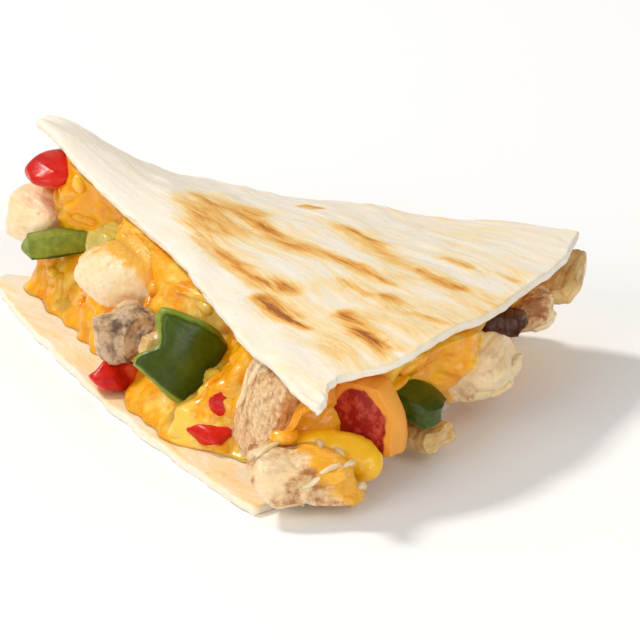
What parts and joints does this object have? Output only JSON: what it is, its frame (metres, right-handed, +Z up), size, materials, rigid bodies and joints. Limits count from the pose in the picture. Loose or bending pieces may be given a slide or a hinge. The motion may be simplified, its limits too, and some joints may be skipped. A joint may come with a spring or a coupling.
{
  "type": "quesadilla",
  "caption": "Cut wedge of a chicken quesadilla: toasted flour sheets above and below, with melted cheese, diced chicken, peppers and onion showing at the open sides.",
  "frame": {"origin": "on the flat underside of the lower sheet, near the middle of the wedge", "axes": "+Z up, +X from the point of the wedge to its rim, +Y towards the back cut"},
  "size_m": [0.1378, 0.113, 0.0355],
  "materials": {
    "flour": "toasted flour tortilla, matt, pale cream with brown griddle marks",
    "melted_cheese": "melted yellow and orange cheese, soft gloss",
    "chicken": "grilled chicken breast, fibrous, slightly moist",
    "green_pepper": "cooked green pepper, glossy skin",
    "red_pepper": "cooked red pepper, wet gloss",
    "onion": "soft fried onion, translucent",
    "mushroom": "browned mushroom slice"
  },
  "bodies": {
    "root": {"top_tortilla": "flour", "bottom_tortilla": "flour", "cheese": "melted_cheese", "chicken_1": "chicken", "chicken_2": "chicken", "chicken_3": "chicken", "chicken_4": "chicken", "chicken_5": "chicken", "chicken_6": "chicken", "chicken_7": "chicken", "chicken_8": "chicken", "chicken_9": "chicken", "chicken_10": "chicken", "green_pepper_1": "green_pepper", "green_pepper_2": "green_pepper", "green_pepper_3": "green_pepper", "green_pepper_4": "green_pepper", "red_pepper_1": "red_pepper", "red_pepper_2": "red_pepper", "red_pepper_3": "red_pepper", "red_pepper_4": "red_pepper", "red_pepper_5": "red_pepper", "red_pepper_6": "red_pepper", "onion_1": "onion", "onion_2": "onion", "onion_3": "onion", "onion_4": "onion", "onion_5": "onion", "mushroom_1": "mushroom"}
  },
  "joints": []
}
